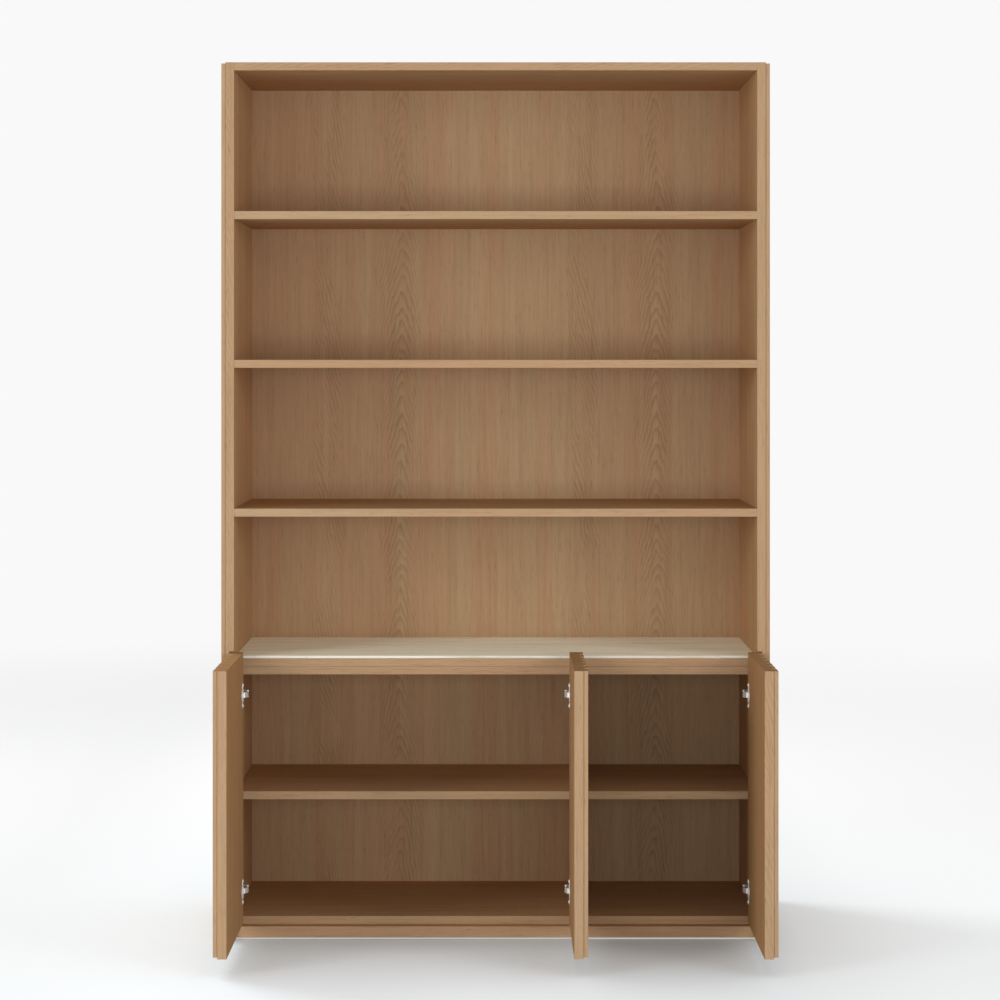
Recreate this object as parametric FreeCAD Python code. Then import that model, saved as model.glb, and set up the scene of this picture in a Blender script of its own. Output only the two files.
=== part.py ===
import FreeCAD, Part
import math
import os

from FreeCAD import Vector

# A full-height oak bookcase: four open bays above a stone-topped cabinet with three doors.
# Millimetres. X runs left to right, Y from front to back, Z up. While the pieces are made, Y = 0
# is the front edge of the side panels and Z = 0 is the floor; export() then centres the part in Y.
# The doors are drawn shut and stored open at a right angle.

# ---------------------------------------------------------------- driving dimensions
overall_width = 1270.0
overall_height = 2032.0
side_depth = 508.0

board_thickness = 18.6
side_core_thickness = 19.7
slat_thickness = 9.8
back_thickness = 6.0
back_recess = 17.0

glide_height = 4.0
glide_radius = 9.0
glide_pin_radius = 2.5
glide_pin_length = 12.0
glide_bevel = 1.0
glide_edge_distance = 18.6
plinth_height = 26.0
plinth_setback = 12.0
plinth_front_thickness = 36.0
cabinet_inner_height = 562.2
hutch_shelf_count = 3
substrate_thickness = 19.4
stone_thickness = 5.8
stone_edge_ease = 0.8

front_setback = 39.5
hutch_setback = 1.0
edge_ease = 0.5
rail_edge_ease = 1.0
fit_gap = 0.5

door_count = 3
door_gap = 3.0
door_core_thickness = 20.5
door_back_clearance = 1.5
door_rise = 11.1
door_foot_gap = 9.6
door_rebate_gap = 3.4
door_open_angle = 90.0

slat_gap = 16.0
slat_outer_round = 1.2
slat_inner_ease = 1.0
slat_end_setback = 2.0
door_core_ease = 1.0
door_slat_count = 7
door_slat_setback = 3.5
side_slat_count = 9
side_slat_setback = 2.6

dowel_radius = 4.0
dowel_length = 32.0
dowel_depth_in_side = 12.0
dowel_depth_in_divider = 11.0
dowel_edge_distance = 75.0

shelf_pin_radius = 2.5
shelf_pin_bore_depth = 9.0
shelf_pin_reach = 9.0
shelf_pin_edge_distance = 50.0

wall_rail_height = 80.0
wall_rail_drop = 40.0
wall_hole_radius = 3.0
wall_hole_spacing = 812.8
back_screw_radius = 3.5
back_screw_height = 2.0
back_screws_per_board = 4

cross_rail_offset = 205.0

# How far a cut runs past the piece it goes through, and how close two numbers count as equal.
overshoot = 1.0
tolerance = 0.0001

# Concealed hinge, measured from the closed door's hinge edge and outer face. The middle door's
# hinges stand further in, so that it swings clear of the right door's edge.
hinge_drop = 97.8
hinge_rise = 75.4
pivot_from_edge = 0.3
middle_pivot_from_edge = 4.0
pivot_from_face = 2.0
cup_radius = 17.4
cup_wall = 0.7
cup_depth = 12.5
cup_floor = 0.8
cup_pocket_clearance = 0.1
cup_edge_distance = 22.5
flange_thickness = 1.3
flange_height = 60.0
flange_width = 16.0
flange_rim = 1.6
cup_screw_spacing = 48.0
cup_pin_edge_distance = 10.8
cup_pin_depth = 7.8

arm_pivot_inset = 15.7
arm_pivot_height = 30.7
pin_radius = 1.4
pin_clearance = 0.1
arm_cheek_outer = 9.8
arm_cheek_thickness = 1.5
arm_nose_radius = 3.8
arm_shoulder_offset = 5.7
arm_web_thickness = 1.5
arm_depth = 11.0
link_side_clearance = 0.3
swing_plate_thickness = 1.7
swing_half_width = 3.2
swing_web_thickness = 1.3
carry_half_width = 2.8
carry_reach = 11.0
carry_bend_rise = 8.0

plate_from_front = 37.0
plate_base_thickness = 2.4
plate_wing_height = 24.0
plate_wing_width = 16.0
plate_block_length = 36.0
plate_block_rise = 6.0
plate_screw_spacing = 32.0
screw_head_radius = 3.4
screw_head_height = 1.8
screw_shank_radius = 1.7
screw_shank_length = 11.0
screw_bore_clearance = 0.1

# ---------------------------------------------------------------- derived levels and planes
half_width = overall_width / 2.0
core_outer_x = half_width - slat_thickness
inner_x = core_outer_x - side_core_thickness

plinth_top_z = glide_height + plinth_height
floor_top_z = plinth_top_z + board_thickness
cabinet_top_z = floor_top_z + cabinet_inner_height
substrate_z = cabinet_top_z + board_thickness
stone_z = substrate_z + substrate_thickness
stone_top_z = stone_z + stone_thickness
hutch_bay_count = hutch_shelf_count + 1
hutch_bay = (overall_height - stone_top_z) / hutch_bay_count - board_thickness
top_panel_z = overall_height - board_thickness
cabinet_shelf_z = floor_top_z + (cabinet_inner_height - board_thickness) / 2.0

back_outer_y = side_depth - back_recess
back_face_y = back_outer_y - back_thickness
back_groove_depth = back_thickness
board_depth = back_face_y

door_thickness = door_core_thickness + slat_thickness
door_overlay = (board_thickness - door_gap) / 2.0
doors_half_span = inner_x + door_overlay
door_width = (2.0 * doors_half_span - (door_count - 1) * door_gap) / door_count
door_inner_y = front_setback - door_back_clearance
door_outer_y = door_inner_y - door_thickness
door_bottom_z = plinth_top_z + door_foot_gap
door_top_z = stone_top_z + door_rise
rebate_x = doors_half_span + door_rebate_gap
rebate_top_z = door_top_z + door_gap

pivot_y = door_outer_y + pivot_from_face
left_pivot_x = -doors_half_span + pivot_from_edge
middle_pivot_x = doors_half_span - door_width - door_gap - middle_pivot_from_edge
right_pivot_x = doors_half_span - pivot_from_edge
pivot_to_wall = door_overlay - pivot_from_edge
divider_left_x = middle_pivot_x - pivot_to_wall
divider_right_x = divider_left_x + board_thickness
divider_centre_x = divider_left_x + board_thickness / 2.0
hinge_heights = (door_bottom_z + hinge_rise, door_top_z - hinge_drop)

# The free end of an open door and the back edge of the sides bound the part in Y.
open_reach = door_width - pivot_from_edge - pivot_y
centring = Vector(0, -(side_depth - open_reach) / 2.0, 0)


# ---------------------------------------------------------------- shared tools
def box(x0, x1, y0, y1, z0, z1):
    """Block between two corners."""
    return Part.makeBox(x1 - x0, y1 - y0, z1 - z0, Vector(x0, y0, z0))


def rod(radius, start, direction, length):
    """Round bar from a start point along a direction."""
    return Part.makeCylinder(radius, length, Vector(*start), Vector(*direction))


def export(node, solids):
    """Write one node, centred in Y, as its own STEP file."""
    shape = solids[0] if len(solids) == 1 else Part.makeCompound(solids)
    placed = shape.copy()
    placed.translate(centring)
    placed.exportStep("parts/" + node + ".step")


def eased(shape, size, picks):
    """Bevel the straight edges whose middle point the test picks."""
    edges = [edge for edge in shape.Edges if picks(edge.CenterOfMass)]
    return shape.makeChamfer(size, edges)


def near(value, target):
    return abs(value - target) < tolerance


def front_eased_board(x0, x1, y0, y1, z0, z1, size):
    """Board with its two long front edges eased."""
    board = box(x0, x1, y0, y1, z0, z1)

    def long_front_edge(point):
        return near(point.y, y0) and near(point.x, (x0 + x1) / 2.0)

    return eased(board, size, long_front_edge)


def mirrored(shape):
    return shape.mirror(Vector(0, 0, 0), Vector(1, 0, 0))


def turned(shape, degrees):
    """Turn about the upright axis through the origin."""
    copy = shape.copy()
    copy.rotate(Vector(0, 0, 0), Vector(0, 0, 1), degrees)
    return copy


def moved(shape, x, y, z):
    copy = shape.copy()
    copy.translate(Vector(x, y, z))
    return copy


# ---------------------------------------------------------------- slats
def slat(width, z0, z1):
    """Upright slat standing out to -Y from y = 0, its outer corners rounded, its inner ones eased."""
    r = slat_outer_round
    e = slat_inner_ease
    t = slat_thickness
    s = r * (1.0 - math.sqrt(0.5))
    edges = [
        Part.LineSegment(Vector(e, 0, 0), Vector(width - e, 0, 0)),
        Part.LineSegment(Vector(width - e, 0, 0), Vector(width, -e, 0)),
        Part.LineSegment(Vector(width, -e, 0), Vector(width, -t + r, 0)),
        Part.Arc(Vector(width, -t + r, 0), Vector(width - s, -t + s, 0), Vector(width - r, -t, 0)),
        Part.LineSegment(Vector(width - r, -t, 0), Vector(r, -t, 0)),
        Part.Arc(Vector(r, -t, 0), Vector(s, -t + s, 0), Vector(0, -t + r, 0)),
        Part.LineSegment(Vector(0, -t + r, 0), Vector(0, -e, 0)),
        Part.LineSegment(Vector(0, -e, 0), Vector(e, 0, 0)),
    ]
    outline = Part.Wire([edge.toShape() for edge in edges])
    return moved(Part.Face(outline).extrude(Vector(0, 0, z1 - z0)), 0, 0, z0)


def slat_row(span, count, z0, z1):
    """Row of equal slats along X on a panel of this width, a little short of both its edges."""
    width = (span - 2.0 * slat_end_setback - (count - 1) * slat_gap) / count
    pitch = width + slat_gap
    return [moved(slat(width, z0, z1), slat_end_setback + number * pitch, 0, 0)
            for number in range(count)]


def side_slats(side):
    """Slats on the outer face of one side panel; side is -1 at the left and 1 at the right."""
    row = slat_row(side_depth, side_slat_count, glide_height + side_slat_setback,
                   overall_height - side_slat_setback)
    if side < 0:
        return [moved(turned(one, -90), -core_outer_x, side_depth, 0) for one in row]
    return [moved(turned(one, 90), core_outer_x, 0, 0) for one in row]


# ---------------------------------------------------------------- places of the fasteners
def dowel_rows(y0):
    """Depths of the two dowels at a board's end."""
    return (y0 + dowel_edge_distance, board_depth - dowel_edge_distance)


def housed_boards():
    """Mid-height and front plane of each board that is dowelled to both sides."""
    half = board_thickness / 2.0
    boards = [(plinth_top_z + half, front_setback), (cabinet_top_z + half, front_setback)]
    for number in range(hutch_shelf_count):
        boards.append((hutch_shelf_z(number) + half, hutch_setback))
    boards.append((top_panel_z + half, hutch_setback))
    return boards


def hutch_shelf_z(number):
    """Underside of a hutch shelf, counted from the stone."""
    return stone_top_z + (number + 1) * hutch_bay + number * board_thickness


def side_dowels(side):
    """Dowels between one side panel and its boards."""
    start_x = side * (inner_x + dowel_depth_in_side)
    dowels = []
    for z, y0 in housed_boards():
        for y in dowel_rows(y0):
            dowels.append(rod(dowel_radius, (start_x, y, z), (-side, 0, 0), dowel_length))
    return dowels


def divider_dowels():
    """Dowels between the divider and the boards under and over it."""
    dowels = []
    for y in dowel_rows(front_setback):
        foot_z = floor_top_z - dowel_depth_in_divider
        head_z = cabinet_top_z + dowel_depth_in_divider
        dowels.append(rod(dowel_radius, (divider_centre_x, y, foot_z), (0, 0, 1), dowel_length))
        dowels.append(rod(dowel_radius, (divider_centre_x, y, head_z), (0, 0, -1), dowel_length))
    return dowels


def shelf_pins(wall_x, inward):
    """Two pins in one wall of a compartment, under its shelf."""
    z = cabinet_shelf_z - shelf_pin_radius
    length = shelf_pin_bore_depth + shelf_pin_reach
    start_x = wall_x - inward * shelf_pin_bore_depth
    depths = (front_setback + shelf_pin_edge_distance, board_depth - shelf_pin_edge_distance)
    return [rod(shelf_pin_radius, (start_x, y, z), (inward, 0, 0), length) for y in depths]


def glide_places():
    """Floor glides under the side panels and under the plinth's cross rails."""
    side_x = inner_x + side_core_thickness / 2.0
    front_y = plinth_setback + plinth_front_thickness + glide_edge_distance
    depths = (front_y, board_depth - board_thickness - glide_edge_distance)
    return [(x, y) for x in (-side_x, -cross_rail_offset, cross_rail_offset, side_x) for y in depths]


def glide_bores():
    return [rod(glide_pin_radius, (x, y, glide_height), (0, 0, 1), glide_pin_length)
            for x, y in glide_places()]


def glides():
    """Turned glide: a disc with a bevelled foot, and the pin that is driven into the wood."""
    made = []
    for x, y in glide_places():
        disc = rod(glide_radius, (x, y, 0), (0, 0, 1), glide_height)
        foot = [edge for edge in disc.Edges if near(edge.CenterOfMass.z, 0.0)]
        pin = rod(glide_pin_radius, (x, y, glide_height), (0, 0, 1), glide_pin_length)
        made.append(disc.makeChamfer(glide_bevel, foot).fuse(pin))
    return made


# ---------------------------------------------------------------- carcass
def side_core(side, bores):
    """Side panel: door rebate at the front, groove for the back panels, bores for what it carries."""
    panel = box(inner_x, core_outer_x, 0, side_depth, glide_height, overall_height)
    rebate = box(inner_x - overshoot, rebate_x, -overshoot, front_setback, plinth_top_z, rebate_top_z)
    groove = box(inner_x - overshoot, inner_x + back_groove_depth, back_face_y, back_outer_y,
                 glide_height - overshoot, overall_height + overshoot)
    panel = panel.cut([rebate, groove])
    panel = eased(panel, edge_ease, lambda p: near(p.y, 0.0) and near(p.x, core_outer_x))
    if side < 0:
        panel = mirrored(panel)
    return panel.cut(bores)


def wide_board(z, y0, thickness, ease, bores):
    """Board from side to side, its front edges eased and its ends bored."""
    board = front_eased_board(-inner_x, inner_x, y0, board_depth, z, z + thickness, ease)
    return board.cut(bores) if bores else board


def stone_slab():
    return front_eased_board(-inner_x, inner_x, front_setback, board_depth, stone_z, stone_top_z,
                             stone_edge_ease)


def divider(bores):
    panel = box(divider_left_x, divider_right_x, front_setback, board_depth, floor_top_z, cabinet_top_z)
    middle_z = (floor_top_z + cabinet_top_z) / 2.0
    panel = eased(panel, edge_ease, lambda p: near(p.y, front_setback) and near(p.z, middle_z))
    return panel.cut(bores)


def cabinet_shelf(x0, x1):
    return front_eased_board(x0 + fit_gap, x1 - fit_gap, front_setback, board_depth, cabinet_shelf_z,
                             cabinet_shelf_z + board_thickness, edge_ease)


def plinth_front():
    """Thick front rail; the front of the bottom board rests on it."""
    return front_eased_board(-inner_x, inner_x, plinth_setback, plinth_setback + plinth_front_thickness,
                             glide_height, plinth_top_z, edge_ease)


def plinth_back():
    return box(-inner_x, inner_x, board_depth - board_thickness, board_depth, glide_height, plinth_top_z)


def plinth_cross_rails(bores):
    """Two rails from the front to the back of the plinth."""
    rails = []
    for x in (-cross_rail_offset, cross_rail_offset):
        rail = box(x - board_thickness / 2.0, x + board_thickness / 2.0,
                   plinth_setback + plinth_front_thickness, board_depth - board_thickness,
                   glide_height, plinth_top_z)
        rails.append(rail.cut(bores))
    return rails


def back_panel(z0, z1):
    reach = inner_x + back_groove_depth
    return box(-reach, reach, back_face_y, back_outer_y, z0, z1)


def wall_rail():
    """Rail behind the upper back panel, with two holes for the screws that hold it to a wall."""
    z1 = overall_height - wall_rail_drop
    rail = box(-inner_x, inner_x, back_outer_y, side_depth, z1 - wall_rail_height, z1)
    z = z1 - wall_rail_height / 2.0
    length = back_recess + 2.0 * overshoot
    holes = [rod(wall_hole_radius, (x, back_outer_y - overshoot, z), (0, 1, 0), length)
             for x in (-wall_hole_spacing / 2.0, wall_hole_spacing / 2.0)]
    return rail.cut(holes)


def back_screws():
    """Pan heads on the back panels, along the bottom, cabinet top and top boards."""
    heads = []
    half = board_thickness / 2.0
    span = 2.0 * (inner_x - dowel_edge_distance)
    for z in (plinth_top_z + half, cabinet_top_z + half, substrate_z + half, top_panel_z + half):
        for number in range(back_screws_per_board):
            x = -span / 2.0 + number * span / (back_screws_per_board - 1)
            heads.append(rod(back_screw_radius, (x, back_outer_y, z), (0, 1, 0), back_screw_height))
    return heads


# ---------------------------------------------------------------- doors
# Each door and its hinges are drawn shut in a frame of their own: the origin is the turning axis,
# X runs to the free edge and Y towards the inside of the cabinet.
door_face = -pivot_from_face
door_inner = door_face + door_thickness
cup_x = cup_edge_distance - pivot_from_edge
flange_top = door_inner + flange_thickness
arm_pivot = Vector(arm_pivot_inset, arm_pivot_height, 0)
cup_pin = Vector(cup_pin_edge_distance - pivot_from_edge, door_inner - cup_pin_depth, 0)
# Open by a right angle, the cup's pin lies here; the swing link keeps parallel to it.
cup_pin_open = Vector(cup_pin.y, -cup_pin.x, 0)
knuckle_open = arm_pivot + cup_pin_open
swing_outer = arm_cheek_outer - arm_cheek_thickness - link_side_clearance
carry_outer = swing_outer - swing_plate_thickness - link_side_clearance


def door_core(hinge_edge, pockets):
    """Door panel, upright edges eased, with the pockets of its hinge cups."""
    core = box(hinge_edge, hinge_edge + door_width, door_face + slat_thickness, door_inner,
               door_bottom_z, door_top_z)
    middle_z = (door_bottom_z + door_top_z) / 2.0
    core = eased(core, door_core_ease, lambda p: near(p.z, middle_z))
    return core.cut(pockets)


def door_slats(hinge_edge):
    row = slat_row(door_width, door_slat_count, door_bottom_z + door_slat_setback, door_top_z)
    return [moved(one, hinge_edge, door_face + slat_thickness, 0) for one in row]


def cup_screw_heights():
    return (-cup_screw_spacing / 2.0, cup_screw_spacing / 2.0)


def cup_bores():
    """Pockets in the door for one hinge: the cup and its two screws."""
    pocket = rod(cup_radius + cup_pocket_clearance, (cup_x, door_inner - cup_depth, 0), (0, 1, 0),
                 cup_depth + overshoot)
    bores = [pocket]
    for z in cup_screw_heights():
        bores.append(screw_bore((cup_x, door_inner, z), (0, -1, 0)))
    return bores


def screw_bore(start, direction):
    """Pilot bore, a little wider and deeper than the shank."""
    return rod(screw_shank_radius + screw_bore_clearance, start, direction,
               screw_shank_length + screw_bore_clearance)


def pan_screw(seat, direction, buried):
    """Pan-head screw: the head stands on its seat, the shank goes through it into the wood."""
    along = Vector(*direction)
    head = Part.makeCylinder(screw_head_radius, screw_head_height, Vector(*seat), -along)
    rim = [edge for edge in head.Edges
           if near((edge.CenterOfMass - Vector(*seat)).dot(along), -screw_head_height)]
    head = head.makeChamfer(screw_head_height / 2.0, rim)
    shank = Part.makeCylinder(screw_shank_radius, buried, Vector(*seat), along)
    return head.fuse(shank)


def hinge_cup():
    """Pressed cup with its oval flange, and the pin that the carrying link turns on."""
    cup = rod(cup_radius, (cup_x, door_inner - cup_depth, 0), (0, 1, 0), cup_depth)
    rim = rod(cup_radius + flange_rim, (cup_x, door_inner, 0), (0, 1, 0), flange_thickness)
    half = flange_width / 2.0
    wing = box(cup_x - half, cup_x + half, door_inner, flange_top, half - flange_height / 2.0,
               flange_height / 2.0 - half)
    ends = [rod(half, (cup_x, door_inner, z), (0, 1, 0), flange_thickness)
            for z in (half - flange_height / 2.0, flange_height / 2.0 - half)]
    hollow = rod(cup_radius - cup_wall, (cup_x, door_inner - cup_depth + cup_floor, 0), (0, 1, 0),
                 cup_depth + flange_thickness)
    holes = [rod(screw_shank_radius + screw_bore_clearance, (cup_x, door_inner - overshoot, z),
                 (0, 1, 0), flange_thickness + 2.0 * overshoot) for z in cup_screw_heights()]
    body = cup.fuse([rim, wing] + ends).cut([hollow] + holes)
    pin = pivot_pin(cup_pin, cup_radius).common(cup)
    return body.fuse(pin).removeSplitter()


def strap(points, half_width, z0, z1):
    """Flat bar that follows straight runs, with round ends and round bends."""
    pieces = []
    for point in points:
        pieces.append(rod(half_width, (point.x, point.y, z0), (0, 0, 1), z1 - z0))
    for start, end in zip(points, points[1:]):
        run = end - start
        across = Vector(-run.y, run.x, 0).normalize() * half_width
        corners = [start + across, end + across, end - across, start - across, start + across]
        face = Part.Face(Part.makePolygon(corners))
        pieces.append(moved(face.extrude(Vector(0, 0, z1 - z0)), 0, 0, z0))
    return pieces[0].fuse(pieces[1:]).removeSplitter()


def pivot_hole(point, half_length):
    return rod(pin_radius + pin_clearance, (point.x, point.y, -half_length), (0, 0, 1), 2.0 * half_length)


def pivot_pin(point, half_length):
    return rod(pin_radius, (point.x, point.y, -half_length), (0, 0, 1), 2.0 * half_length)


def swing_link():
    """Forked link, door open: two plates and a web, with the pin of the knuckle riveted in."""
    inner = swing_outer - swing_plate_thickness
    plates = [strap([arm_pivot, knuckle_open], swing_half_width, z0, z1)
              for z0, z1 in ((inner, swing_outer), (-swing_outer, -inner))]
    along = (knuckle_open - arm_pivot).normalize()
    across = Vector(-along.y, along.x, 0)
    web_start = arm_pivot + along * pin_radius
    web_end = knuckle_open - along * (2.0 * swing_half_width)
    far = across * swing_half_width
    close = across * (swing_half_width - swing_web_thickness)
    corners = [web_start + close, web_end + close, web_end + far, web_start + far, web_start + close]
    web = Part.Face(Part.makePolygon(corners)).extrude(Vector(0, 0, 2.0 * swing_outer))
    web.translate(Vector(0, 0, -swing_outer))
    link = plates[0].fuse([plates[1], web]).cut(pivot_hole(arm_pivot, arm_cheek_outer))
    return link.fuse(pivot_pin(knuckle_open, swing_outer)).removeSplitter()


def carry_link():
    """Goose-neck link, door open: from the cup's pin round the door's edge to the knuckle."""
    elbow = cup_pin_open + Vector(carry_reach, 0, 0)
    bend = Vector(knuckle_open.x, elbow.y + carry_bend_rise, 0)
    link = strap([cup_pin_open, elbow, bend, knuckle_open], carry_half_width, -carry_outer, carry_outer)
    return link.cut([pivot_hole(cup_pin_open, arm_cheek_outer), pivot_hole(knuckle_open, arm_cheek_outer)])


arm_wall_side = pivot_to_wall + plate_base_thickness
arm_top_side = arm_wall_side + arm_depth
plate_centre_y = front_setback + plate_from_front - pivot_y
arm_back_y = plate_centre_y + plate_block_length / 2.0 + arm_web_thickness
swing_length = cup_pin.Length
web_front_y = arm_pivot_height + swing_length - swing_half_width


def hinge_arm():
    """Channel that lies over the plate's block and ends in the nose that carries the swing link."""
    inner = arm_cheek_outer - arm_cheek_thickness
    shoulder_y = arm_pivot_height + arm_shoulder_offset
    corners = [
        Vector(arm_pivot.x - arm_nose_radius, arm_pivot.y, 0),
        Vector(arm_pivot.x + arm_nose_radius, arm_pivot.y, 0),
        Vector(arm_top_side, shoulder_y, 0),
        Vector(arm_top_side, arm_back_y, 0),
        Vector(arm_wall_side, arm_back_y, 0),
        Vector(arm_wall_side, shoulder_y, 0),
        Vector(arm_pivot.x - arm_nose_radius, arm_pivot.y, 0),
    ]
    cheeks = []
    for z0 in (inner, -arm_cheek_outer):
        plate = Part.Face(Part.makePolygon(corners)).extrude(Vector(0, 0, arm_cheek_thickness))
        nose = rod(arm_nose_radius, (arm_pivot.x, arm_pivot.y, z0), (0, 0, 1), arm_cheek_thickness)
        cheeks.append(moved(plate, 0, 0, z0).fuse(nose))
    web = box(arm_top_side - arm_web_thickness, arm_top_side, web_front_y, arm_back_y,
              -arm_cheek_outer, arm_cheek_outer)
    body = cheeks[0].fuse([cheeks[1], web, pivot_pin(arm_pivot, arm_cheek_outer)])
    return body.cut(arm_screw_bore()).removeSplitter()


def arm_screw_seat():
    return (arm_top_side, plate_centre_y, 0)


def arm_screw_bore():
    bore_radius = screw_shank_radius + screw_bore_clearance
    return rod(bore_radius, arm_screw_seat(), (-1, 0, 0), arm_depth - screw_bore_clearance)


def plate_screw_heights():
    return (-plate_screw_spacing / 2.0, plate_screw_spacing / 2.0)


def hinge_plate():
    """Mounting plate: wings with two screw holes, and the block that the arm is screwed to."""
    half = plate_block_length / 2.0
    wing = plate_wing_width / 2.0
    base = box(pivot_to_wall, arm_wall_side, plate_centre_y - half, plate_centre_y + half,
               -arm_cheek_outer, arm_cheek_outer)
    wings = box(pivot_to_wall, arm_wall_side, plate_centre_y - wing, plate_centre_y + wing,
                -plate_wing_height, plate_wing_height)
    inner = arm_cheek_outer - arm_cheek_thickness
    block = box(arm_wall_side, arm_wall_side + plate_block_rise, plate_centre_y - half,
                plate_centre_y + half, -inner, inner)
    body = base.fuse([wings, block]).removeSplitter()
    corners = [edge for edge in body.Edges if near(abs(edge.CenterOfMass.z), plate_wing_height)
               and near(edge.Length, plate_base_thickness)]
    body = body.makeFillet(wing / 2.0, corners)
    start_x = pivot_to_wall - overshoot
    holes = [rod(screw_shank_radius + screw_bore_clearance, (start_x, plate_centre_y, z),
                 (1, 0, 0), plate_base_thickness + 2.0 * overshoot) for z in plate_screw_heights()]
    return body.cut(holes + [arm_screw_bore()])


def plate_bores():
    """Pilot bores in the wall that carries one plate."""
    return [screw_bore((pivot_to_wall, plate_centre_y, z), (-1, 0, 0)) for z in plate_screw_heights()]


def plate_screws():
    """Two screws through the plate into the wall, and one that clamps the arm on its block."""
    seat_x = arm_wall_side
    screws = [pan_screw((seat_x, plate_centre_y, z), (-1, 0, 0), screw_shank_length)
              for z in plate_screw_heights()]
    clamp_depth = arm_depth - 2.0 * arm_web_thickness
    screws.append(pan_screw(arm_screw_seat(), (-1, 0, 0), clamp_depth))
    return screws


def cup_screws():
    return [pan_screw((cup_x, flange_top, z), (0, -1, 0), screw_shank_length)
            for z in cup_screw_heights()]


def at_both_hinges(shapes):
    """Repeat one hinge's shapes at both hinge heights."""
    return [moved(shape, 0, 0, z) for z in hinge_heights for shape in shapes]


def in_place(shapes, pivot_x, hand, degrees):
    """Turn shapes about the door's axis, hand them and set them at the axis; hand is 1 or -1."""
    placed = []
    for shape in shapes:
        one = turned(shape, degrees)
        if hand < 0:
            one = mirrored(one)
        placed.append(moved(one, pivot_x, pivot_y, 0))
    return placed


def export_door(name, pivot_x, edge_distance, hand):
    """One door, stored open, with both its hinges; the axis is this far in from its edge."""
    opened = -door_open_angle
    core = door_core(-edge_distance, at_both_hinges(cup_bores()))
    export(name + "_door_core", in_place([core], pivot_x, hand, opened))
    export(name + "_door_slats", in_place(door_slats(-edge_distance), pivot_x, hand, opened))
    export(name + "_hinge_cups", in_place(at_both_hinges([hinge_cup()]), pivot_x, hand, opened))
    export(name + "_cup_screws", in_place(at_both_hinges(cup_screws()), pivot_x, hand, opened))
    export(name + "_swing_links", in_place(at_both_hinges([swing_link()]), pivot_x, hand, 0))
    export(name + "_carry_links", in_place(at_both_hinges([carry_link()]), pivot_x, hand, 0))
    export(name + "_hinge_arms", in_place(at_both_hinges([hinge_arm()]), pivot_x, hand, 0))
    export(name + "_hinge_plates", in_place(at_both_hinges([hinge_plate()]), pivot_x, hand, 0))
    export(name + "_plate_screws", in_place(at_both_hinges(plate_screws()), pivot_x, hand, 0))


def wall_bores(pivot_x, hand):
    """Pilot bores for both plates of one door."""
    return in_place(at_both_hinges(plate_bores()), pivot_x, hand, 0)


# ---------------------------------------------------------------- the whole part
def export_carcass():
    left_dowels = side_dowels(-1)
    right_dowels = side_dowels(1)
    middle_dowels = divider_dowels()
    left_pins = shelf_pins(-inner_x, 1) + shelf_pins(divider_left_x, -1)
    right_pins = shelf_pins(divider_right_x, 1) + shelf_pins(inner_x, -1)
    feet = glide_bores()

    left_bores = left_dowels + left_pins[:2] + feet + wall_bores(left_pivot_x, 1)
    export("left_side_core", [side_core(-1, left_bores)])
    right_bores = right_dowels + right_pins[2:] + feet + wall_bores(right_pivot_x, -1)
    export("right_side_core", [side_core(1, right_bores)])
    export("left_side_slats", side_slats(-1))
    export("right_side_slats", side_slats(1))

    end_dowels = left_dowels + right_dowels
    export("top_panel", [wide_board(top_panel_z, hutch_setback, board_thickness, edge_ease, end_dowels)])
    for number in range(hutch_shelf_count):
        shelf = wide_board(hutch_shelf_z(number), hutch_setback, board_thickness, edge_ease, end_dowels)
        export("hutch_shelf_%d" % (number + 1), [shelf])
    export("stone_top", [stone_slab()])
    export("stone_substrate", [wide_board(substrate_z, front_setback, substrate_thickness,
                                          rail_edge_ease, [])])
    export("cabinet_top_panel", [wide_board(cabinet_top_z, front_setback, board_thickness,
                                            rail_edge_ease, end_dowels + middle_dowels)])
    export("bottom_panel", [wide_board(plinth_top_z, front_setback, board_thickness, edge_ease,
                                       end_dowels + middle_dowels)])
    divider_bores = middle_dowels + left_pins[2:] + right_pins[:2] + wall_bores(middle_pivot_x, -1)
    export("divider", [divider(divider_bores)])
    export("left_cabinet_shelf", [cabinet_shelf(-inner_x, divider_left_x)])
    export("right_cabinet_shelf", [cabinet_shelf(divider_right_x, inner_x)])
    export("shelf_pins", left_pins + right_pins)
    export("corner_dowels", end_dowels + middle_dowels)

    export("plinth_front_rail", [plinth_front()])
    export("plinth_back_rail", [plinth_back()])
    export("plinth_cross_rails", plinth_cross_rails(feet))
    export("floor_glides", glides())

    export("back_panel_lower", [back_panel(glide_height, substrate_z)])
    export("back_panel_upper", [back_panel(substrate_z, overall_height)])
    export("back_panel_screws", back_screws())
    export("wall_rail", [wall_rail()])


os.makedirs("parts", exist_ok=True)
export_carcass()
export_door("left", left_pivot_x, pivot_from_edge, 1)
export_door("middle", middle_pivot_x, middle_pivot_from_edge, -1)
export_door("right", right_pivot_x, pivot_from_edge, -1)
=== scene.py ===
import bpy
import numpy as np
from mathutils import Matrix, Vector


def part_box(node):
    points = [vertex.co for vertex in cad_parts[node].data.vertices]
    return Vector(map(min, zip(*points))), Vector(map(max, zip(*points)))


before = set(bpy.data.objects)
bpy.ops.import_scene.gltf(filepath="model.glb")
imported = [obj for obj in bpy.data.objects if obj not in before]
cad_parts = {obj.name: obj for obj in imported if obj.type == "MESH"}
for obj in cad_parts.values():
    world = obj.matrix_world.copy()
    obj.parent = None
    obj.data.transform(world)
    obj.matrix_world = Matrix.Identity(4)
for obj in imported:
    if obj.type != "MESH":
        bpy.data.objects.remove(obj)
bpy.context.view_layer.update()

# An oak bookcase over a stone-topped cabinet with three open doors, in metres.
# X runs to the right, Y to the back, Z up, and the floor is Z = 0.

FRONT_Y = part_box("left_side_core")[0].y


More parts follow.
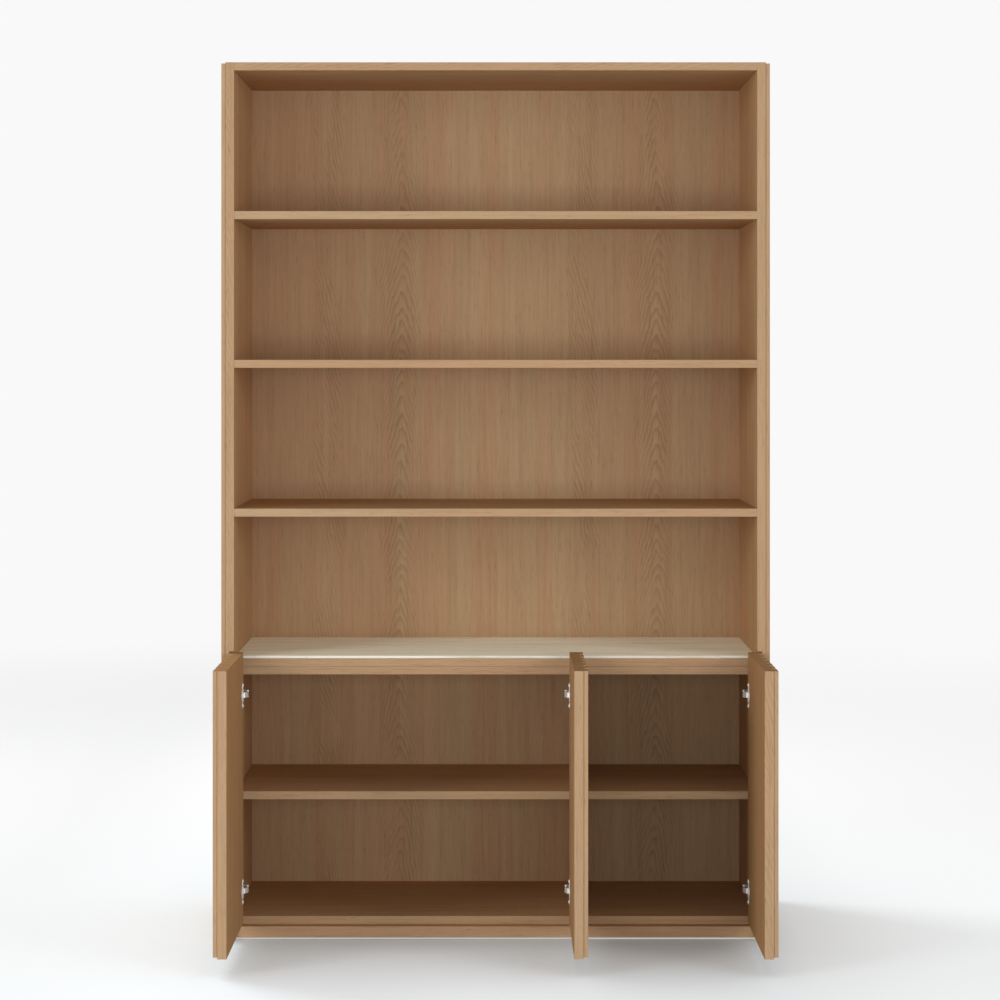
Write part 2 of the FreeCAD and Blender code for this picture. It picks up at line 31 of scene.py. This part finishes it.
# ---------------------------------------------------------------- shader arithmetic
class Value:
    """A number that varies over a surface; arithmetic on it adds Math nodes."""

    def __init__(self, nodes, socket):
        self.nodes = nodes
        self.socket = socket

    def math(self, operation, *terms):
        made = self.nodes.node("ShaderNodeMath", {"operation": operation}, dict(enumerate(terms)))
        return Value(self.nodes, made.outputs[0])

    def __add__(self, other):
        return self.math("ADD", self, other)

    def __sub__(self, other):
        return self.math("SUBTRACT", self, other)

    def __rsub__(self, other):
        return self.math("SUBTRACT", other, self)

    def __mul__(self, other):
        return self.math("MULTIPLY", self, other)

    def __truediv__(self, other):
        return self.math("DIVIDE", self, other)

    def __pow__(self, other):
        return self.math("POWER", self, other)

    __radd__ = __add__
    __rmul__ = __mul__

    def most(self, other):
        """The larger of two values."""
        return self.math("MAXIMUM", self, other)

    def size(self):
        """The value without its sign."""
        return self.math("ABSOLUTE", self)

    def part(self):
        """What is left over the last whole number."""
        return self.math("FRACT", self)

    def between(self, low, high):
        """0 below low, 1 above high and a smooth step between."""
        made = self.nodes.node("ShaderNodeMapRange", {"interpolation_type": "SMOOTHSTEP"},
                               {"Value": self, "From Min": low, "From Max": high})
        return Value(self.nodes, made.outputs[0])


class Nodes:
    """A node tree and the one way in which nodes are added to it."""

    def __init__(self, tree):
        self.tree = tree

    def node(self, kind, settings, sockets):
        """Any node: its settings first, then its sockets' values or links."""
        made = self.tree.nodes.new(kind)
        for key, setting in settings.items():
            setattr(made, key, setting)
        self.fill(made, sockets)
        return made

    def fill(self, made, sockets):
        """Each socket takes a link where it is given a value or a socket, and a constant otherwise."""
        for key, given in sockets.items():
            if isinstance(given, Value):
                given = given.socket
            if isinstance(given, bpy.types.NodeSocket):
                self.tree.links.new(given, made.inputs[key])
            else:
                made.inputs[key].default_value = given

    def seen_directly(self):
        """1 where a ray comes from the camera, a mirror or a pane, and 0 where it only lights."""
        path = self.node("ShaderNodeLightPath", {}, {})
        seen, mirrored, through = (Value(self, path.outputs[ray]) for ray in
                                   ("Is Camera Ray", "Is Glossy Ray", "Is Transmission Ray"))
        return seen.most(mirrored).most(through)


class Finish(Nodes):
    """One material: its node tree, its surface shader, the place on the piece in metres, and how
    squarely the face looks to the front or the back, from 0 to 1."""

    def __init__(self, name):
        self.material = bpy.data.materials.new(name)
        self.material.use_nodes = True
        super().__init__(self.material.node_tree)
        self.shader = self.tree.nodes["Principled BSDF"]
        place = self.node("ShaderNodeTexCoord", {}, {})
        split = self.node("ShaderNodeSeparateXYZ", {}, {0: place.outputs["Object"]})
        self.x, self.y, self.z = (Value(self, socket) for socket in split.outputs)
        facing = self.node("ShaderNodeSeparateXYZ", {}, {0: place.outputs["Normal"]})
        self.fore = Value(self, facing.outputs["Y"]).size()

    def place(self, x, y, z):
        """A point from three values."""
        return self.node("ShaderNodeCombineXYZ", {}, {0: x, 1: y, 2: z}).outputs[0]

    def noise(self, x, y, z, detail=2.0, roughness=0.5):
        """Smooth noise about 0.5 at a point given in its own cells."""
        made = self.node("ShaderNodeTexNoise", {},
                         {"Vector": self.place(x, y, z), "Scale": 1.0, "Detail": detail,
                          "Roughness": roughness})
        return Value(self, made.outputs["Fac"])

    def toned(self, colour, painted_side_shading):
        """A colour multiplied by another one."""
        made = self.node("ShaderNodeMix", {"data_type": "RGBA", "blend_type": "MULTIPLY"},
                         {"Factor": 1.0})
        self.fill(made, {6: colour, 7: painted_side_shading})
        return made.outputs[2]

    def blend(self, share, first, second):
        """A colour between two colours."""
        made = self.node("ShaderNodeMix", {"data_type": "RGBA"}, {"Factor": share})
        self.fill(made, {6: first, 7: second})
        return made.outputs[2]

    def bump(self, height, distance, strength=1.0):
        """Small relief, its height given from 0 to 1 and its depth in metres."""
        made = self.node("ShaderNodeBump", {},
                         {"Height": height, "Distance": distance, "Strength": strength})
        self.fill(self.shader, {"Normal": made.outputs["Normal"]})


def rgb(r, g, b):
    return (r, g, b, 1.0)


# ---------------------------------------------------------------- oak
OAK_RED = rgb(0.515, 0.320, 0.184)
OAK_OLIVE = rgb(0.505, 0.348, 0.200)
OAK_PALE = rgb(0.560, 0.392, 0.238)
OAK_DEEP = rgb(0.340, 0.206, 0.107)
OAK_PORE = rgb(0.242, 0.140, 0.070)

# painted shading for the faces that look sideways, up or down: what they are multiplied by on the
# carcass (a warm painted bounce) and on the doors (a darker painted shade)
WALL_SIDE_PAINTED_BOUNCE = rgb(1.08, 1.00, 0.90)
DOOR_SIDE_PAINTED_SHADE = rgb(0.95, 0.82, 0.67)

# the veneer's leaves, with the arches on their heart line and a slanting flank beside them
LEAF_WIDTH = 0.634
BACK_HEART = -0.238
HEART_REACH = 0.072
FLANK_PLACE = -0.176
FLANK_REACH = 0.052
TIP_SPACING = 0.036
ARCH_SLOPE = 4.3
ARCH_ROUND = 0.012
DRIFT = 0.035
WOBBLE = 3.4
SWAY = 0.03
OAK_RELIEF = 0.00022

# streaks drawn out along the grain: cells per metre along it and across it, detail and roughness
BAND = (0.5, 17.0, 2.0, 0.5)
BROAD = (1.2, 34.0, 3.0, 0.55)
LINES = (2.6, 110.0, 2.0, 0.5)
FIBRE = (9.0, 250.0, 3.0, 0.6)
HAIR = (34.0, 900.0, 2.0, 0.6)


def arches(f, across, run, seed, lean):
    """Nested arches of a flat-cut leaf, tips up, from 0 to 1 where the late wood is darkest.

    A ring line drops away from its tip as a hyperbola: the height plus ARCH_SLOPE times the
    rounded distance from the heart line is the same all along it, and the ring's number is that
    sum over TIP_SPACING. A lean of 1 makes the lines straight and slanting instead.
    """
    drift = (f.noise(run * 3.1, seed, 0.3, 2.0) - 0.5) * DRIFT
    side = across + drift
    flank = (side * side + ARCH_ROUND ** 2) ** 0.5 * (1.0 - lean) + side * lean
    wobble = (f.noise(run * 6.0, side * 22.0, seed, 3.0, 0.6) - 0.5) * WOBBLE
    ring = ((run + flank * ARCH_SLOPE) / TIP_SPACING + wobble).part()
    late = ring ** 2.2 * (1.0 - ring.between(0.86, 1.0))
    return late * f.noise(run * 5.0, side * 16.0, seed + 5.0, 2.0).between(0.30, 0.62)


def strip(across, reach):
    """1 on the middle of a strip, falling to 0 at its edges."""
    return (1.0 - across.size() / reach).between(0.0, 0.7)


def oak(name, along, heart=0.0, figure=1.0, seed=0.0, painted_side_shading=WALL_SIDE_PAINTED_BOUNCE):
    """Matt oak veneer in leaves of one width, its grain along x or z.

    Each leaf shows one strip of arches and a slanting strip beside it, both as strong as figure
    says. Under them lie redder and more olive bands and streaks drawn out along the grain at three
    sizes, and over them the pores, which are the peaks of the finest streaks. Faces that look to
    the front or the back keep the colour. All others are multiplied by a painted shading that stands
    in
    for the light they get: a warm painted bounce on the carcass and a darker painted shade on the
    doors.
    """
    f = Finish(name)
    if along == "z":
        run, wide, deep = f.z, f.x, f.y
    else:
        run, wide, deep = f.x, f.y, f.z
    run = run + seed * 1.7

    def streaks(along_cells, across_cells, detail, roughness):
        return f.noise(run * along_cells, wide * across_cells, deep * across_cells + seed,
                       detail, roughness)

    sway = (streaks(1.6, 3.0, 2.0, 0.5) - 0.5) * SWAY
    across = wide + deep + (sway - heart)
    leaf = ((across / LEAF_WIDTH + 0.5).part() - 0.5) * LEAF_WIDTH
    flank = leaf - FLANK_PLACE
    arched = arches(f, leaf, run, seed, 0.0) * strip(leaf, HEART_REACH)
    slanting = arches(f, flank, run, seed + 0.7, 1.0) * strip(flank, FLANK_REACH)
    rings = (arched + slanting) * figure

    band, broad, lines = streaks(*BAND), streaks(*BROAD), streaks(*LINES)
    fibre, hair = streaks(*FIBRE), streaks(*HAIR)
    pore = hair.between(0.57, 0.66) * (fibre.between(0.35, 0.65) * 0.6 + 0.4)

    colour = f.blend(band.between(0.36, 0.64), OAK_RED, OAK_OLIVE)
    colour = f.blend(broad.between(0.42, 0.78) * 0.5, colour, OAK_PALE)
    colour = f.blend(lines.between(0.46, 0.74) * 0.20, colour, OAK_DEEP)
    colour = f.blend(fibre.between(0.40, 0.80) * 0.28, colour, OAK_DEEP)
    colour = f.blend(rings * 0.9, colour, OAK_DEEP)
    colour = f.blend(pore * (rings * 0.5 + 0.40), colour, OAK_PORE)
    # painted shading: faces that do not look to the front or the back get a colour that stands in for
    # their bounce light and shade
    colour = f.blend(f.fore.between(0.4, 0.8), f.toned(colour, painted_side_shading), colour)
    f.fill(f.shader, {
        "Base Color": colour,
        "Roughness": 0.54 + fibre * 0.12 + pore * 0.10 - rings * 0.06,
        "Specular IOR Level": 0.0,
        "Coat Weight": 0.03 - pore * 0.02,
        "Coat Roughness": 0.42,
    })
    f.bump(0.6 - pore * 0.55 + fibre * 0.3 - rings * 0.1, OAK_RELIEF)
    return f.material


# ---------------------------------------------------------------- stone, metal, beech and nylon
STONE_CREAM = rgb(0.870, 0.835, 0.700)
STONE_WHITE = rgb(0.940, 0.925, 0.840)
STONE_CLOUD = rgb(0.940, 0.925, 0.860)
STONE_VEIN = rgb(0.680, 0.620, 0.450)
STONE_PIT = rgb(0.500, 0.420, 0.300)
STONE_SHEEN = rgb(1.00, 0.91, 0.67)
NICKEL_WORN = rgb(0.90, 0.89, 0.87)
NICKEL_BRIGHT = rgb(0.95, 0.945, 0.93)
BEECH_PALE = rgb(0.62, 0.44, 0.27)
BEECH_FLECK = rgb(0.42, 0.26, 0.14)
NYLON_DARK = rgb(0.030, 0.028, 0.026)
NYLON_WORN = rgb(0.060, 0.056, 0.052)

STONE_RELIEF = 0.0003
NICKEL_RELIEF = 0.00003
BEECH_RELIEF = 0.0001
NYLON_RELIEF = 0.00006


def stone():
    """Vein-cut stone: long thin streaks along x with cloudy bands and a few fine pits."""
    f = Finish("stone_vein_cut")
    sway = (f.noise(f.x * 2.0, f.y * 5.0, f.z * 5.0, 3.0) - 0.5) * 0.05
    level = f.y + f.z * 0.8 + sway
    bands = f.noise(f.x * 1.5, level * 26.0, f.z * 9.0, 4.0, 0.6)
    veins = f.noise(f.x * 4.0, level * 74.0, f.z * 30.0, 4.0, 0.65)
    cloud = f.noise(f.x * 6.0, f.y * 14.0, f.z * 14.0, 3.0, 0.5)
    pits = f.noise(f.x * 90.0, f.y * 420.0, f.z * 420.0, 1.0).between(0.66, 0.74)
    colour = f.blend(bands.between(0.36, 0.62), STONE_CREAM, STONE_WHITE)
    colour = f.blend(veins.between(0.48, 0.64) * 0.85, colour, STONE_VEIN)
    colour = f.blend(cloud.between(0.5, 0.8) * 0.3, colour, STONE_CLOUD)
    colour = f.blend(pits * 0.35, colour, STONE_PIT)
    f.fill(f.shader, {
        "Base Color": colour,
        "Roughness": 0.5 + veins * 0.1 + pits * 0.3,
        "Specular IOR Level": 0.0,
        "Coat Weight": 0.06,
        "Coat Roughness": 0.22,
        "Sheen Weight": 0.50,
        "Sheen Roughness": 0.5,
        "Sheen Tint": STONE_SHEEN,
    })
    f.bump(0.8 - pits * 0.7 - veins * 0.12, STONE_RELIEF)
    return f.material


def nickel():
    """Nickel-plated pressed steel with a faint brushed direction and handling marks."""
    f = Finish("nickel_plate")
    brush = f.noise(f.x * 500.0, f.y * 500.0, f.z * 2600.0, 2.0)
    smear = f.noise(f.x * 70.0, f.y * 70.0, f.z * 70.0, 3.0)
    f.fill(f.shader, {
        "Base Color": f.blend(smear.between(0.35, 0.75), NICKEL_WORN, NICKEL_BRIGHT),
        "Metallic": 0.5,
        "Roughness": 0.26 + brush * 0.14 + smear * 0.08,
    })
    f.bump(brush, NICKEL_RELIEF, 0.6)
    return f.material


def beech():
    """Plain turned beech: pale, with short flecks."""
    f = Finish("beech_dowel")
    fleck = f.noise(f.x * 300.0, f.y * 900.0, f.z * 900.0, 2.0).between(0.55, 0.7)
    f.fill(f.shader, {
        "Base Color": f.blend(fleck * 0.5, BEECH_PALE, BEECH_FLECK),
        "Roughness": 0.6 + fleck * 0.1,
    })
    f.bump(1.0 - fleck, BEECH_RELIEF)
    return f.material


def nylon():
    """Moulded nylon with a fine spark-eroded grain."""
    f = Finish("moulded_nylon")
    grain = f.noise(f.x * 1500.0, f.y * 1500.0, f.z * 1500.0, 2.0)
    f.fill(f.shader, {
        "Base Color": f.blend(grain, NYLON_DARK, NYLON_WORN),
        "Roughness": 0.42 + grain * 0.2,
    })
    f.bump(grain, NYLON_RELIEF)
    return f.material


# ---------------------------------------------------------------- dressing the pieces
def dress(material, *names):
    """One finish over each named piece."""
    for name in names:
        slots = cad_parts[name].data.materials
        slots.clear()
        slots.append(material)


# Every piece of oak has its own seed, so that no two show the same figure.
# upright pieces: finish, piece, heart line of the leaf, strength of the arches, seed
UPRIGHTS = (
    ("oak_left_side", "left_side_core", 0.11, 0.6, 2.1),
    ("oak_right_side", "right_side_core", 0.19, 0.6, 4.4),
    ("oak_left_slats", "left_side_slats", 0.3, 0.5, 5.2),
    ("oak_right_slats", "right_side_slats", 0.3, 0.5, 6.7),
    ("oak_divider", "divider", 0.2, 0.5, 7.9),
)
BOARDS = ("top_panel", "hutch_shelf_1", "hutch_shelf_2", "hutch_shelf_3", "stone_substrate",
          "cabinet_top_panel", "bottom_panel", "left_cabinet_shelf", "right_cabinet_shelf",
          "plinth_front_rail", "plinth_back_rail", "plinth_cross_rails", "wall_rail")
DOORS = ("left", "middle", "right")
HINGE_PIECES = ("hinge_cups", "cup_screws", "swing_links", "carry_links", "hinge_arms",
                "hinge_plates", "plate_screws")


def dress_carcass():
    """Oak on every board, each with its own seed, and stone, beech and nylon where they belong."""
    back_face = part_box("back_panel_upper")[0].y
    dress(oak("oak_back", "z", heart=BACK_HEART + back_face, seed=0.3),
          "back_panel_upper", "back_panel_lower")
    for finish, piece, heart, figure, seed in UPRIGHTS:
        dress(oak(finish, "z", heart, figure, seed), piece)
    for number, board in enumerate(BOARDS):
        dress(oak("oak_" + board, "x", heart=0.1, figure=0.6, seed=9.1 + 1.37 * number), board)
    dress(stone(), "stone_top")
    dress(beech(), "corner_dowels")
    dress(nylon(), "floor_glides")


def dress_doors():
    """Oak on each door's core and slats."""
    for number, door in enumerate(DOORS):
        core = door + "_door_core"
        slats = door + "_door_slats"
        # the doors' faces that look sideways, up or down carry a darker painted shade
        dress(oak("oak_" + door + "_door", "z", 0.12, 0.6, 30.2 + 2.3 * number, DOOR_SIDE_PAINTED_SHADE), core)
        dress(oak("oak_" + slats, "z", 0.3, 0.5, 40.7 + 2.9 * number, DOOR_SIDE_PAINTED_SHADE), slats)


def dress_metal():
    """One nickel finish on the hinges, the shelf pins and the screws."""
    hinges = [door + "_" + piece for door in DOORS for piece in HINGE_PIECES]
    dress(nickel(), "shelf_pins", "back_panel_screws", *hinges)


# ---------------------------------------------------------------- studio
BACKDROP = 0.947
SKY = 0.365

FLOOR_RADIUS = 9.0
FLOOR_TURNS = 65
FLOOR_RINGS = 24
FLOOR_FADE = (2.2, 7.5)
FLOOR_NEAR = (rgb(0.70, 0.76, 0.79), rgb(0.72, 0.78, 0.81))
FLOOR_FAR = rgb(0.76, 0.765, 0.77)
NEAR_TO_FAR = (0.5, 2.4)

# the floor's fill light: its level, what it loses on the left and gains on the right between two
# places each, and the reach and steepness of its falling off between the doors and beside them
FLOOR_LIFT = 0.42
LEFT_LOSS, LEFT_EDGE = 0.22, (-1.3, -0.7)
RIGHT_GAIN, RIGHT_EDGE = 0.15, (0.55, 1.0)
SHADE_REACH = 0.65
SHADE_BETWEEN = 1.3
SHADE_BESIDE = 0.5
DOOR_EDGE = (0.56, 0.72)
GAP_GLOW, GAP_SHADE = 1.25, (0.03, 0.14)

CAMERA_DISTANCE = 6.507
CAMERA_HEIGHT = 1.330
LENS = 101.24
SENSOR = 36.0
SHIFT_X = 0.0044
SHIFT_Y = -0.1344

# name, watts, width and height, place, point it is turned to
LAMPS = (
    ("band", 166.0, (8.0, 1.7), (0.0, -7.4, 1.05), (0.0, 0.0, 1.05)),
    ("left", 116.0, (2.5, 2.5), (-5.0, -4.2, 2.0), (0.0, 0.0, 0.9)),
    ("right", 100.0, (2.5, 2.5), (5.0, -4.5, 1.8), (0.0, 0.0, 0.9)),
    ("behind", 130.0, (2.5, 2.5), (-3.4, 2.6, 4.6), (0.2, -0.6, 0.0)),
)


def make_world():
    """Even white surroundings: BACKDROP where they are seen or mirrored, SKY where they light."""
    world = bpy.data.worlds.new("studio")
    world.use_nodes = True
    surroundings = Nodes(world.node_tree)
    surroundings.fill(world.node_tree.nodes["Background"], {
        "Color": rgb(1.0, 1.0, 1.0),
        "Strength": surroundings.seen_directly() * (BACKDROP - SKY) + SKY,
    })
    bpy.context.scene.world = world


def surface(name, rows, columns, point):
    """A mesh from point(u, v), worked out for whole arrays of u and v from 0 to 1 on a grid."""
    u, v = np.meshgrid(np.linspace(0.0, 1.0, columns), np.linspace(0.0, 1.0, rows))
    points = np.stack(point(u, v), axis=-1).reshape(-1, 3)
    corner = (np.arange(rows - 1)[:, None] * columns + np.arange(columns - 1)[None, :]).ravel()
    faces = np.stack([corner, corner + 1, corner + columns + 1, corner + columns], axis=-1)
    mesh = bpy.data.meshes.new(name)
    mesh.from_pydata(points.tolist(), [], faces.tolist())
    mesh.update()
    made = bpy.data.objects.new(name, mesh)
    bpy.context.scene.collection.objects.link(made)
    return made


def make_floor():
    """Round pale floor that fades out towards its rim: the radius grows with u and the turn with v.

    A low glow fills it in, weaker where things stand over it. It falls off faster between the doors
    than beside them, it evens out the lamps from left to right, and it is strong in the slit under
    the plinth, as light from behind is.
    """
    floor = surface("floor", FLOOR_TURNS, FLOOR_RINGS,
                    lambda u, v: (FLOOR_RADIUS * u * np.cos(2 * np.pi * v),
                                  FLOOR_RADIUS * u * np.sin(2 * np.pi * v),
                                  0.0 * u))
    f = Finish("floor_white")
    far = (f.x * f.x + f.y * f.y) ** 0.5
    near = f.blend(f.noise(f.x * 3.0, f.y * 3.0, f.z, 3.0), *FLOOR_NEAR)
    shade = f.node("ShaderNodeAmbientOcclusion", {"samples": 16}, {"Distance": SHADE_REACH})
    open_air = Value(f, shade.outputs["AO"])
    beside = f.x.size().between(*DOOR_EDGE)
    even = 1.0 + f.x.between(*RIGHT_EDGE) * RIGHT_GAIN - (1.0 - f.x.between(*LEFT_EDGE)) * LEFT_LOSS
    fill_light = open_air ** (beside * (SHADE_BESIDE - SHADE_BETWEEN) + SHADE_BETWEEN) * even
    gap_light = (1.0 - open_air.between(*GAP_SHADE)) * GAP_GLOW
    f.fill(f.shader, {
        "Base Color": f.blend(far.between(*NEAR_TO_FAR), near, FLOOR_FAR),
        "Roughness": 0.9,
        "Alpha": 1.0 - far.between(*FLOOR_FADE),
        "Specular IOR Level": 0.0,
        "Emission Color": (fill_light + gap_light) * f.seen_directly(),
        "Emission Strength": FLOOR_LIFT,
    })
    floor.data.materials.append(f.material)


def make_lamp(name, power, size, place, aim):
    """Soft rectangular lamp turned towards a point."""
    data = bpy.data.lights.new(name, "AREA")
    data.energy = power
    data.shape = "RECTANGLE"
    data.size, data.size_y = size
    lamp = bpy.data.objects.new(name, data)
    lamp.location = place
    lamp.rotation_euler = (Vector(aim) - Vector(place)).to_track_quat("-Z", "Y").to_euler()
    lamp.visible_camera = False
    bpy.context.scene.collection.objects.link(lamp)


def make_camera():
    """Level camera in front of the bookcase, its frame shifted down to take in the foot."""
    data = bpy.data.cameras.new("camera")
    data.sensor_width = SENSOR
    data.lens = LENS
    data.shift_x = SHIFT_X
    data.shift_y = SHIFT_Y
    camera = bpy.data.objects.new("camera", data)
    camera.location = (0.0, FRONT_Y - CAMERA_DISTANCE, CAMERA_HEIGHT)
    camera.rotation_euler = (np.pi / 2, 0.0, 0.0)
    bpy.context.scene.collection.objects.link(camera)
    bpy.context.scene.camera = camera


dress_carcass()
dress_doors()
dress_metal()

make_world()
make_floor()
for lamp in LAMPS:
    make_lamp(*lamp)
make_camera()

bpy.context.scene.view_settings.view_transform = "Standard"
